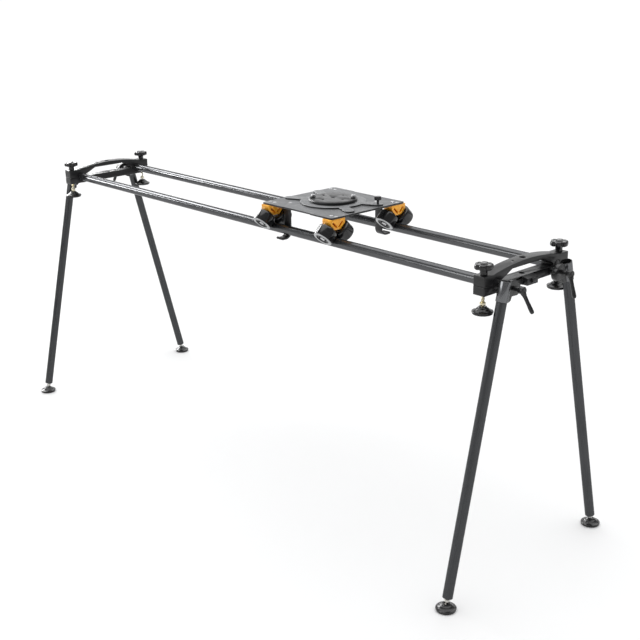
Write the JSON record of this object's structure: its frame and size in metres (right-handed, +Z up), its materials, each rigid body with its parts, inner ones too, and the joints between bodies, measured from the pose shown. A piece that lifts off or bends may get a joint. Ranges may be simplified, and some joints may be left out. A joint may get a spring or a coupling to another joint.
{
  "type": "camera slider",
  "caption": "Camera slider on legs: a wheeled carriage plate with a camera-head flange rides two round rails clamped in arched end handles on splayed legs with levelling feet.",
  "frame": {"origin": "on the floor, at the centre of the footprint of the four legs", "axes": "+X along the rails towards the end the carriage stands nearer to, +Y towards the rear rail, +Z up"},
  "size_m": [1.9936, 0.631, 0.848],
  "materials": {
    "black_tube": "black anodised, satin",
    "plug_plastic": "moulded",
    "black_casting": "black powder coat, worn satin on the flat tops",
    "zinc_steel": "zinc plated",
    "knob_plastic": "moulded black nylon",
    "foot_rubber": "moulded black rubber",
    "lever_metal": "black powder coat",
    "plate_metal": "fine textured dark grey",
    "orange_aluminium": "orange anodised extrusion",
    "wheel_tread": "gloss black polyurethane",
    "bright_steel": "bright plated",
    "bearing_steel": "ground",
    "black_steel": "black oxide",
    "adapter_grey": "grey anodised, satin"
  },
  "bodies": {
    "frame": {"rail_front": "black_tube", "rail_rear": "black_tube", "rail_end_plugs": "plug_plastic", "handle_left": "black_casting", "handle_right": "black_casting", "crossbar_left": "black_casting", "crossbar_right": "black_casting", "frame_bolts": "black_steel"},
    "carriage": {"carriage_plate": "plate_metal", "bracket_front_left": "orange_aluminium", "bracket_rear_left": "orange_aluminium", "bracket_front_right": "orange_aluminium", "bracket_rear_right": "orange_aluminium", "axle_bolts": "bright_steel", "wheel_bearings": "bearing_steel", "safety_hooks": "black_steel", "carriage_screws": "bright_steel", "head_adapter": "adapter_grey", "head_flange": "black_steel"},
    "adapter_knob": {"adapter_knob": "knob_plastic"},
    "wheel_outer_front_left": {"wheel_outer_front_left": "wheel_tread"},
    "wheel_inner_front_left": {"wheel_inner_front_left": "wheel_tread"},
    "wheel_outer_rear_left": {"wheel_outer_rear_left": "wheel_tread"},
    "wheel_inner_rear_left": {"wheel_inner_rear_left": "wheel_tread"},
    "wheel_outer_front_right": {"wheel_outer_front_right": "wheel_tread"},
    "wheel_inner_front_right": {"wheel_inner_front_right": "wheel_tread"},
    "wheel_outer_rear_right": {"wheel_outer_rear_right": "wheel_tread"},
    "wheel_inner_rear_right": {"wheel_inner_rear_right": "wheel_tread"},
    "clamp_knob_front_left": {"clamp_knob_front_left": "knob_plastic"},
    "clamp_foot_front_left": {"clamp_foot_stud_front_left": "zinc_steel"},
    "clamp_foot_pad_front_left": {"clamp_foot_pad_front_left": "foot_rubber"},
    "leg_front_left": {"leg_socket_front_left": "black_casting", "leg_tube_front_left": "black_tube"},
    "leg_foot_front_left": {"leg_foot_stud_front_left": "zinc_steel"},
    "leg_foot_pad_front_left": {"leg_foot_pad_front_left": "foot_rubber"},
    "ratchet_lever_front_left": {"ratchet_lever_front_left": "lever_metal"},
    "clamp_knob_rear_left": {"clamp_knob_rear_left": "knob_plastic"},
    "clamp_foot_rear_left": {"clamp_foot_stud_rear_left": "zinc_steel"},
    "clamp_foot_pad_rear_left": {"clamp_foot_pad_rear_left": "foot_rubber"},
    "leg_rear_left": {"leg_socket_rear_left": "black_casting", "leg_tube_rear_left": "black_tube"},
    "leg_foot_rear_left": {"leg_foot_stud_rear_left": "zinc_steel"},
    "leg_foot_pad_rear_left": {"leg_foot_pad_rear_left": "foot_rubber"},
    "ratchet_lever_rear_left": {"ratchet_lever_rear_left": "lever_metal"},
    "clamp_knob_front_right": {"clamp_knob_front_right": "knob_plastic"},
    "clamp_foot_front_right": {"clamp_foot_stud_front_right": "zinc_steel"},
    "clamp_foot_pad_front_right": {"clamp_foot_pad_front_right": "foot_rubber"},
    "leg_front_right": {"leg_socket_front_right": "black_casting", "leg_tube_front_right": "black_tube"},
    "leg_foot_front_right": {"leg_foot_stud_front_right": "zinc_steel"},
    "leg_foot_pad_front_right": {"leg_foot_pad_front_right": "foot_rubber"},
    "ratchet_lever_front_right": {"ratchet_lever_front_right": "lever_metal"},
    "clamp_knob_rear_right": {"clamp_knob_rear_right": "knob_plastic"},
    "clamp_foot_rear_right": {"clamp_foot_stud_rear_right": "zinc_steel"},
    "clamp_foot_pad_rear_right": {"clamp_foot_pad_rear_right": "foot_rubber"},
    "leg_rear_right": {"leg_socket_rear_right": "black_casting", "leg_tube_rear_right": "black_tube"},
    "leg_foot_rear_right": {"leg_foot_stud_rear_right": "zinc_steel"},
    "leg_foot_pad_rear_right": {"leg_foot_pad_rear_right": "foot_rubber"},
    "ratchet_lever_rear_right": {"ratchet_lever_rear_right": "lever_metal"}
  },
  "joints": [
    {"name": "carriage_slide", "type": "slide", "parent": "frame", "child": "carriage", "axis": [1, 0, 0], "range_m": [-0.9845, 0.4705]},
    {"name": "adapter_knob_turn", "type": "hinge", "parent": "carriage", "child": "adapter_knob", "pos_m": [0.37576, 0.05288, 0.836], "axis": [0, 0, 1], "range_deg": [0, 360]},
    {"name": "wheel_outer_front_left_spin", "type": "hinge", "parent": "carriage", "child": "wheel_outer_front_left", "pos_m": [0.134, -0.14029, 0.78279], "axis": [0, -0.7071, -0.7071], "range_deg": [-1060, 2170]},
    {"name": "wheel_inner_front_left_spin", "type": "hinge", "parent": "carriage", "child": "wheel_inner_front_left", "pos_m": [0.134, -0.08471, 0.78279], "axis": [0, 0.7071, -0.7071], "range_deg": [-2170, 1060]},
    {"name": "wheel_outer_rear_left_spin", "type": "hinge", "parent": "carriage", "child": "wheel_outer_rear_left", "pos_m": [0.134, 0.14029, 0.78279], "axis": [0, 0.7071, -0.7071], "range_deg": [-2170, 1060]},
    {"name": "wheel_inner_rear_left_spin", "type": "hinge", "parent": "carriage", "child": "wheel_inner_rear_left", "pos_m": [0.134, 0.08471, 0.78279], "axis": [0, -0.7071, -0.7071], "range_deg": [-1060, 2170]},
    {"name": "wheel_outer_front_right_spin", "type": "hinge", "parent": "carriage", "child": "wheel_outer_front_right", "pos_m": [0.38, -0.14029, 0.78279], "axis": [0, -0.7071, -0.7071], "range_deg": [-1060, 2170]},
    {"name": "wheel_inner_front_right_spin", "type": "hinge", "parent": "carriage", "child": "wheel_inner_front_right", "pos_m": [0.38, -0.08471, 0.78279], "axis": [0, 0.7071, -0.7071], "range_deg": [-2170, 1060]},
    {"name": "wheel_outer_rear_right_spin", "type": "hinge", "parent": "carriage", "child": "wheel_outer_rear_right", "pos_m": [0.38, 0.14029, 0.78279], "axis": [0, 0.7071, -0.7071], "range_deg": [-2170, 1060]},
    {"name": "wheel_inner_rear_right_spin", "type": "hinge", "parent": "carriage", "child": "wheel_inner_rear_right", "pos_m": [0.38, 0.08471, 0.78279], "axis": [0, -0.7071, -0.7071], "range_deg": [-1060, 2170]},
    {"name": "clamp_knob_front_left_turn", "type": "hinge", "parent": "frame", "child": "clamp_knob_front_left", "pos_m": [-0.9, -0.1395, 0.7995], "axis": [0, 0, 1], "range_deg": [0, 540]},
    {"name": "clamp_foot_front_left_screw", "type": "slide", "parent": "frame", "child": "clamp_foot_front_left", "axis": [0, 0, -1], "range_m": [-0.0045, 0.004]},
    {"name": "clamp_foot_pad_front_left_tilt", "type": "hinge", "parent": "clamp_foot_front_left", "child": "clamp_foot_pad_front_left", "pos_m": [-0.9, -0.1395, 0.6985], "axis": [1, 0, 0], "range_deg": [-15, 15]},
    {"name": "leg_front_left_swing", "type": "hinge", "parent": "frame", "child": "leg_front_left", "pos_m": [-0.941, -0.09, 0.747], "axis": [-1, 0, 0], "range_deg": [-13.2, 10]},
    {"name": "leg_foot_front_left_screw", "type": "slide", "parent": "leg_front_left", "child": "leg_foot_front_left", "axis": [0, -0.2284, -0.9736], "range_m": [-0.002, 0.02]},
    {"name": "leg_foot_pad_front_left_tilt", "type": "hinge", "parent": "leg_foot_front_left", "child": "leg_foot_pad_front_left", "pos_m": [-0.941, -0.29048, 0.0105], "axis": [-1, 0, 0], "range_deg": [-1.8, 28.2]},
    {"name": "ratchet_lever_front_left_turn", "type": "hinge", "parent": "frame", "child": "ratchet_lever_front_left", "pos_m": [-0.977, -0.09, 0.747], "axis": [1, 0, 0], "range_deg": [-60, 60]},
    {"name": "clamp_knob_rear_left_turn", "type": "hinge", "parent": "frame", "child": "clamp_knob_rear_left", "pos_m": [-0.9, 0.1395, 0.7995], "axis": [0, 0, 1], "range_deg": [0, 540]},
    {"name": "clamp_foot_rear_left_screw", "type": "slide", "parent": "frame", "child": "clamp_foot_rear_left", "axis": [0, 0, -1], "range_m": [-0.0045, 0.004]},
    {"name": "clamp_foot_pad_rear_left_tilt", "type": "hinge", "parent": "clamp_foot_rear_left", "child": "clamp_foot_pad_rear_left", "pos_m": [-0.9, 0.1395, 0.6985], "axis": [1, 0, 0], "range_deg": [-15, 15]},
    {"name": "leg_rear_left_swing", "type": "hinge", "parent": "frame", "child": "leg_rear_left", "pos_m": [-0.941, 0.09, 0.747], "axis": [1, 0, 0], "range_deg": [-13.2, 10]},
    {"name": "leg_foot_rear_left_screw", "type": "slide", "parent": "leg_rear_left", "child": "leg_foot_rear_left", "axis": [0, 0.2284, -0.9736], "range_m": [-0.002, 0.02]},
    {"name": "leg_foot_pad_rear_left_tilt", "type": "hinge", "parent": "leg_foot_rear_left", "child": "leg_foot_pad_rear_left", "pos_m": [-0.941, 0.29048, 0.0105], "axis": [1, 0, 0], "range_deg": [-1.8, 28.2]},
    {"name": "ratchet_lever_rear_left_turn", "type": "hinge", "parent": "frame", "child": "ratchet_lever_rear_left", "pos_m": [-0.977, 0.09, 0.747], "axis": [1, 0, 0], "range_deg": [-60, 60]},
    {"name": "clamp_knob_front_right_turn", "type": "hinge", "parent": "frame", "child": "clamp_knob_front_right", "pos_m": [0.9, -0.1395, 0.7995], "axis": [0, 0, 1], "range_deg": [0, 540]},
    {"name": "clamp_foot_front_right_screw", "type": "slide", "parent": "frame", "child": "clamp_foot_front_right", "axis": [0, 0, -1], "range_m": [-0.0045, 0.004]},
    {"name": "clamp_foot_pad_front_right_tilt", "type": "hinge", "parent": "clamp_foot_front_right", "child": "clamp_foot_pad_front_right", "pos_m": [0.9, -0.1395, 0.6985], "axis": [1, 0, 0], "range_deg": [-15, 15]},
    {"name": "leg_front_right_swing", "type": "hinge", "parent": "frame", "child": "leg_front_right", "pos_m": [0.941, -0.09, 0.747], "axis": [-1, 0, 0], "range_deg": [-13.2, 10]},
    {"name": "leg_foot_front_right_screw", "type": "slide", "parent": "leg_front_right", "child": "leg_foot_front_right", "axis": [0, -0.2284, -0.9736], "range_m": [-0.002, 0.02]},
    {"name": "leg_foot_pad_front_right_tilt", "type": "hinge", "parent": "leg_foot_front_right", "child": "leg_foot_pad_front_right", "pos_m": [0.941, -0.29048, 0.0105], "axis": [-1, 0, 0], "range_deg": [-1.8, 28.2]},
    {"name": "ratchet_lever_front_right_turn", "type": "hinge", "parent": "frame", "child": "ratchet_lever_front_right", "pos_m": [0.977, -0.09, 0.747], "axis": [1, 0, 0], "range_deg": [-60, 60]},
    {"name": "clamp_knob_rear_right_turn", "type": "hinge", "parent": "frame", "child": "clamp_knob_rear_right", "pos_m": [0.9, 0.1395, 0.7995], "axis": [0, 0, 1], "range_deg": [0, 540]},
    {"name": "clamp_foot_rear_right_screw", "type": "slide", "parent": "frame", "child": "clamp_foot_rear_right", "axis": [0, 0, -1], "range_m": [-0.0045, 0.004]},
    {"name": "clamp_foot_pad_rear_right_tilt", "type": "hinge", "parent": "clamp_foot_rear_right", "child": "clamp_foot_pad_rear_right", "pos_m": [0.9, 0.1395, 0.6985], "axis": [1, 0, 0], "range_deg": [-15, 15]},
    {"name": "leg_rear_right_swing", "type": "hinge", "parent": "frame", "child": "leg_rear_right", "pos_m": [0.941, 0.09, 0.747], "axis": [1, 0, 0], "range_deg": [-13.2, 10]},
    {"name": "leg_foot_rear_right_screw", "type": "slide", "parent": "leg_rear_right", "child": "leg_foot_rear_right", "axis": [0, 0.2284, -0.9736], "range_m": [-0.002, 0.02]},
    {"name": "leg_foot_pad_rear_right_tilt", "type": "hinge", "parent": "leg_foot_rear_right", "child": "leg_foot_pad_rear_right", "pos_m": [0.941, 0.29048, 0.0105], "axis": [1, 0, 0], "range_deg": [-1.8, 28.2]},
    {"name": "ratchet_lever_rear_right_turn", "type": "hinge", "parent": "frame", "child": "ratchet_lever_rear_right", "pos_m": [0.977, 0.09, 0.747], "axis": [1, 0, 0], "range_deg": [-60, 60]}
  ],
  "couplings": [
    {"joint": "wheel_outer_front_left_spin", "follows": "carriage_slide", "rad_per_m": -37.736},
    {"joint": "wheel_inner_front_left_spin", "follows": "carriage_slide", "rad_per_m": 37.736},
    {"joint": "wheel_outer_rear_left_spin", "follows": "carriage_slide", "rad_per_m": 37.736},
    {"joint": "wheel_inner_rear_left_spin", "follows": "carriage_slide", "rad_per_m": -37.736},
    {"joint": "wheel_outer_front_right_spin", "follows": "carriage_slide", "rad_per_m": -37.736},
    {"joint": "wheel_inner_front_right_spin", "follows": "carriage_slide", "rad_per_m": 37.736},
    {"joint": "wheel_outer_rear_right_spin", "follows": "carriage_slide", "rad_per_m": 37.736},
    {"joint": "wheel_inner_rear_right_spin", "follows": "carriage_slide", "rad_per_m": -37.736}
  ]
}
